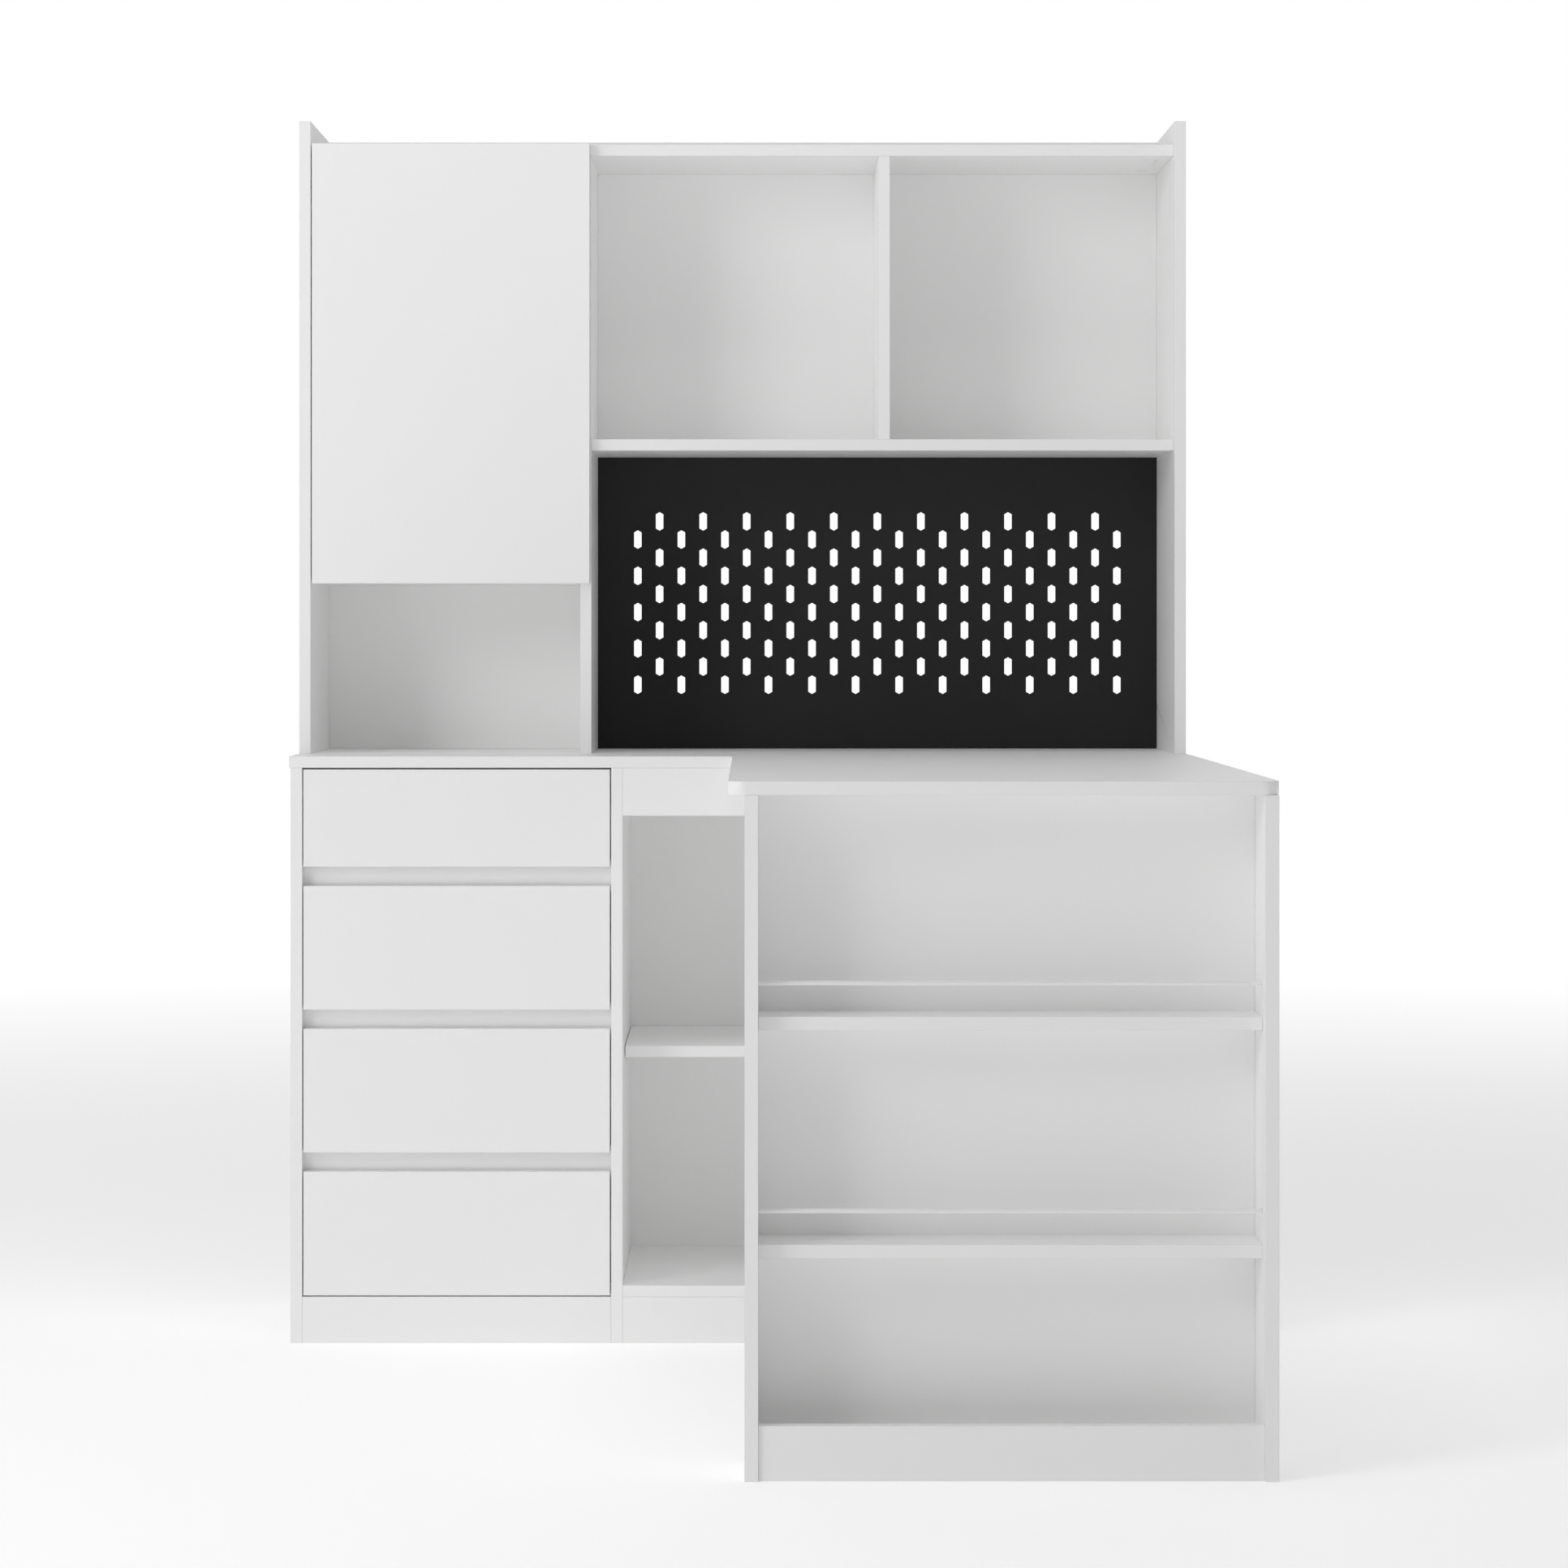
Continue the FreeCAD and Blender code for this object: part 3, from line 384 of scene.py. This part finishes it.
def paint_bands(mesh):
    """Give the banding's slot to the polygons that aren't on the board's large faces."""
    areas = [0.0, 0.0, 0.0]
    for polygon in mesh.polygons:
        for axis in range(3):
            areas[axis] += polygon.area * abs(polygon.normal[axis])
    thickness_axis = areas.index(max(areas))
    for polygon in mesh.polygons:
        on_face = abs(polygon.normal[thickness_axis]) > FACE_ON
        polygon.material_index = FACE_SLOT if on_face else BAND_SLOT


# ---------------------------------------------------------------- arrises

ARRIS = 0.5 * MM                   # width of a board's eased edge
ARRIS_SEGMENTS = 2
WELD = 0.01 * MM
SHARP = math.radians(40)
EASED_SLOTS = ("white_laminate", "white_hardboard")


def ease_edges():
    """Round every board's arrises slightly; a banded board's also get the darker arris material, painted seam
    shade and glue line.
    """
    for entry in frame["record"]["subparts"]:
        if entry["material_slot"] not in EASED_SLOTS:
            continue
        board = nodes[entry["node"]]
        weld = board.modifiers.new("weld", "WELD")
        weld.merge_threshold = WELD
        bevel = board.modifiers.new("arris", "BEVEL")
        bevel.width = ARRIS
        bevel.segments = ARRIS_SEGMENTS
        bevel.limit_method = "ANGLE"
        bevel.angle_limit = SHARP
        bevel.harden_normals = True
        # clamped, the short edges round a board's bores would thin its arrises to nothing
        bevel.use_clamp_overlap = False
        if entry["material_slot"] == "white_laminate":
            # the arris gets the darker material: painted shade for the seams, and the glue line
            bevel.material = ARRIS_SLOT


# ---------------------------------------------------------------- small hardware

TURN_STEPS = 48                    # corners round a turned piece
CROSS_WIDTH = 0.28                 # half the width of a cross recess's arm, to its length
NEARLY_NONE = 1e-9
SAME_PLACE = 0.001 * MM
UP = Vector((0.0, 0.0, 1.0))

# Profiles of turned pieces, from the rim at the seat to the middle of the top.
# Each ring is its reach and height as parts of the whole, and its form.
PAN_HEAD = (
    (1.0, 0.0, "round"),
    (1.0, 0.4, "round"),
    (0.9, 0.75, "round"),
    (0.72, 1.0, "round"),
    (0.5, 1.0, "cross"),
    (0.42, 0.25, "cross"),
)
COVER_CAP = (
    (1.0, 0.0, "round"),
    (1.0, 0.3, "round"),
    (0.96, 0.6, "round"),
    (0.9, 0.8, "round"),
    (0.5, 1.0, "round"),
)


def cross_reach(angle):
    """Distance from the centre to the edge of a cross whose arms are 1 long, in this direction."""
    across = max(abs(math.cos(angle)), NEARLY_NONE)
    along = max(abs(math.sin(angle)), NEARLY_NONE)
    lying = min(1.0 / across, CROSS_WIDTH / along)
    standing = min(CROSS_WIDTH / across, 1.0 / along)
    return max(lying, standing)


def sized(profile, radius, height):
    """A profile's rings at this radius and height."""
    return [(reach * radius, rise * height, form) for reach, rise, form in profile]


def turned(rings, seat, facing):
    """Corners and faces of a turned solid; each ring is (reach, height, "round" or "cross")."""
    turn = UP.rotation_difference(Vector(facing))
    corners = []
    for reach, height, form in rings:
        for step in range(TURN_STEPS):
            angle = 2 * math.pi * step / TURN_STEPS
            radius = reach * (cross_reach(angle) if form == "cross" else 1.0)
            corner = Vector((radius * math.cos(angle), radius * math.sin(angle), height))
            corners.append(seat + turn @ corner)
    faces = []
    for ring in range(len(rings) - 1):
        for step in range(TURN_STEPS):
            here = ring * TURN_STEPS + step
            beside = ring * TURN_STEPS + (step + 1) % TURN_STEPS
            faces.append((here, beside, beside + TURN_STEPS, here + TURN_STEPS))
    last = (len(rings) - 1) * TURN_STEPS
    faces.append(tuple(reversed(range(TURN_STEPS))))
    faces.append(tuple(range(last, last + TURN_STEPS)))
    return corners, faces


def hardware(name, solids, body, finish):
    """One piece made of several solids, each a (corners, faces) pair."""
    corners = []
    faces = []
    for solid_corners, solid_faces in solids:
        first = len(corners)
        corners += solid_corners
        faces += [tuple(first + corner for corner in face) for face in solid_faces]
    mesh = bpy.data.meshes.new(name)
    mesh.from_pydata(corners, [], faces)
    mesh.materials.append(finish)
    mesh.shade_smooth()
    mesh.set_sharp_from_angle(angle=SHARP)
    piece = bpy.data.objects.new(name, mesh)
    bpy.context.scene.collection.objects.link(piece)
    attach(piece, body)


def separate_boxes(name):
    """Lowest and highest corner of each separate solid in a node."""
    mesh = nodes[name].data
    owner = {}                     # from each corner's place to another of the same solid

    def root(place):
        while owner[place] != place:
            owner[place] = owner[owner[place]]
            place = owner[place]
        return place

    places = [tuple(round(value / SAME_PLACE) for value in vertex.co) for vertex in mesh.vertices]
    for place in places:
        owner.setdefault(place, place)
    for polygon in mesh.polygons:
        first = root(places[polygon.vertices[0]])
        for vertex in polygon.vertices[1:]:
            owner[root(places[vertex])] = first
    boxes = {}
    for vertex, place in zip(mesh.vertices, places):
        low, high = boxes.setdefault(root(place), (vertex.co.copy(), vertex.co.copy()))
        for axis in range(3):
            low[axis] = min(low[axis], vertex.co[axis])
            high[axis] = max(high[axis], vertex.co[axis])
    return list(boxes.values())


# hinge plates and cups
PLATE_GAUGE = 2 * MM
PLATE_MIDDLE = 38 * MM             # front of the arm to the middle of its plate
PLATE_SCREW_INSET = 7 * MM
CUP_SCREW_INSET = 5 * MM
SCREW_RADIUS = 3.4 * MM
SCREW_HEIGHT = 1.6 * MM
CUP_SCREW_HEIGHT = 0.8 * MM        # the heads on a cup's flange are flatter
PIN_RADIUS = 1.4 * MM
PIN_LENGTH = 22 * MM
PIN_PLACES = (-6 * MM, 5 * MM)     # the cup's two cross pins, from its middle
PIN_DEPTH = 4 * MM
SHOULDER_RADIUS = 1.2 * PIN_RADIUS
SHOULDER_LENGTH = 2 * MM


def plate_screws():
    """Two heads on each hinge arm's mounting plate."""
    heads = []
    for low, high in separate_boxes("hinge_arms"):
        for z in (low.z + PLATE_SCREW_INSET, high.z - PLATE_SCREW_INSET):
            seat = Vector((low.x + PLATE_GAUGE, low.y + PLATE_MIDDLE, z))
            heads.append(turned(sized(PAN_HEAD, SCREW_RADIUS, SCREW_HEIGHT), seat, (1, 0, 0)))
    return heads


def cup_screws():
    """Two heads on each hinge cup's flange."""
    heads = []
    for low, high in separate_boxes("hinge_cups"):
        for z in (low.z + CUP_SCREW_INSET, high.z - CUP_SCREW_INSET):
            seat = Vector(((low.x + high.x) / 2, high.y, z))
            heads.append(turned(sized(PAN_HEAD, SCREW_RADIUS, CUP_SCREW_HEIGHT), seat, (0, 1, 0)))
    return heads


def cup_pins():
    """The two cross pins in each hinge cup, with a shoulder at each end."""
    far_shoulder = PIN_LENGTH - SHOULDER_LENGTH
    rings = (
        (SHOULDER_RADIUS, 0.0, "round"),
        (SHOULDER_RADIUS, SHOULDER_LENGTH, "round"),
        (PIN_RADIUS, SHOULDER_LENGTH, "round"),
        (PIN_RADIUS, far_shoulder, "round"),
        (SHOULDER_RADIUS, far_shoulder, "round"),
        (SHOULDER_RADIUS, PIN_LENGTH, "round"),
    )
    pins = []
    for low, high in separate_boxes("hinge_cups"):
        middle = (low.x + high.x) / 2
        foot = (low.z + high.z - PIN_LENGTH) / 2
        for offset in PIN_PLACES:
            seat = Vector((middle + offset, high.y - PIN_DEPTH, foot))
            pins.append(turned(rings, seat, UP))
    return pins


# screws through the metal panel's flanges
PEG_HEAD_RADIUS = 3.3 * MM
PEG_HEAD_HEIGHT = 0.7 * MM


def pegboard_heads():
    """A head on the inner end of each pegboard screw, facing the panel's middle."""
    low_end, high_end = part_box("pegboard")
    middle = (low_end[0] + high_end[0]) / 2
    heads = []
    for low, high in separate_boxes("pegboard_screws"):
        on_left = low.x < middle
        seat = Vector((high.x if on_left else low.x, (low.y + high.y) / 2, (low.z + high.z) / 2))
        facing = (1, 0, 0) if on_left else (-1, 0, 0)
        heads.append(turned(sized(PAN_HEAD, PEG_HEAD_RADIUS, PEG_HEAD_HEIGHT), seat, facing))
    return heads


# runner screws
RUNNER_GAUGE = 1.2 * MM            # thickness of a channel's web
RUNNER_END = 35 * MM               # from a channel's end to its first screw
RUNNER_HEAD_RADIUS = 3.2 * MM
RUNNER_HEAD_HEIGHT = 1.1 * MM


def web_screws(name, web_on_left):
    """Three heads along each channel's web, inside the channel.

    web_on_left says that the left-hand channels have their web on the left; the right-hand ones mirror them.
    """
    boxes = separate_boxes(name)
    middle = sum(low.x + high.x for low, high in boxes) / (2 * len(boxes))
    heads = []
    for low, high in boxes:
        is_left = (low.x + high.x) / 2 < middle
        web_low = is_left == web_on_left
        x = low.x + RUNNER_GAUGE if web_low else high.x - RUNNER_GAUGE
        facing = (1, 0, 0) if web_low else (-1, 0, 0)
        for y in (low.y + RUNNER_END, (low.y + high.y) / 2, high.y - RUNNER_END):
            seat = Vector((x, y, (low.z + high.z) / 2))
            heads.append(turned(sized(PAN_HEAD, RUNNER_HEAD_RADIUS, RUNNER_HEAD_HEIGHT), seat, facing))
    return heads


# white caps over the cam locks
CAP_RADIUS = 8.8 * MM
CAP_HEIGHT = 0.6 * MM


def cam_caps():
    """A cap under each cam lock."""
    caps = []
    for low, high in separate_boxes("cam_locks"):
        seat = Vector(((low.x + high.x) / 2, (low.y + high.y) / 2, low.z))
        caps.append(turned(sized(COVER_CAP, CAP_RADIUS, CAP_HEIGHT), seat, (0, 0, -1)))
    return caps


def make_hardware(finishes):
    """Screw heads, pins and caps, each set riding on the body that carries it."""
    nickel = finishes["plated_steel"]
    hardware("plate_screw_heads", plate_screws(), "carcass", nickel)
    hardware("cup_screw_heads", cup_screws(), "door", nickel)
    hardware("cup_pins", cup_pins(), "door", nickel)
    hardware("pegboard_screw_heads", pegboard_heads(), "carcass", nickel)
    runner_heads = web_screws("cabinet_runners", web_on_left=True)
    hardware("runner_screw_heads", runner_heads, "carcass", nickel)
    for joint in frame["joints"]:
        body = joint["child"]
        if body.startswith("drawer"):
            heads = web_screws(body + "_sliders", web_on_left=False)
            hardware(body + "_slider_screw_heads", heads, body, nickel)
    hardware("cam_cover_caps", cam_caps(), "carcass", finishes["white_rod"])


# ---------------------------------------------------------------- scene

# light goes back and forth many times inside a white recess
MAX_BOUNCES = 16
DIFFUSE_BOUNCES = 12

make_camera()
make_world()
make_floor()
for softbox in SOFTBOXES:
    make_softbox(*softbox)
finishes = paint_nodes()
ease_edges()
make_hardware(finishes)

scene = bpy.context.scene
scene.cycles.max_bounces = MAX_BOUNCES
scene.cycles.diffuse_bounces = DIFFUSE_BOUNCES
scene.view_settings.view_transform = "Standard"
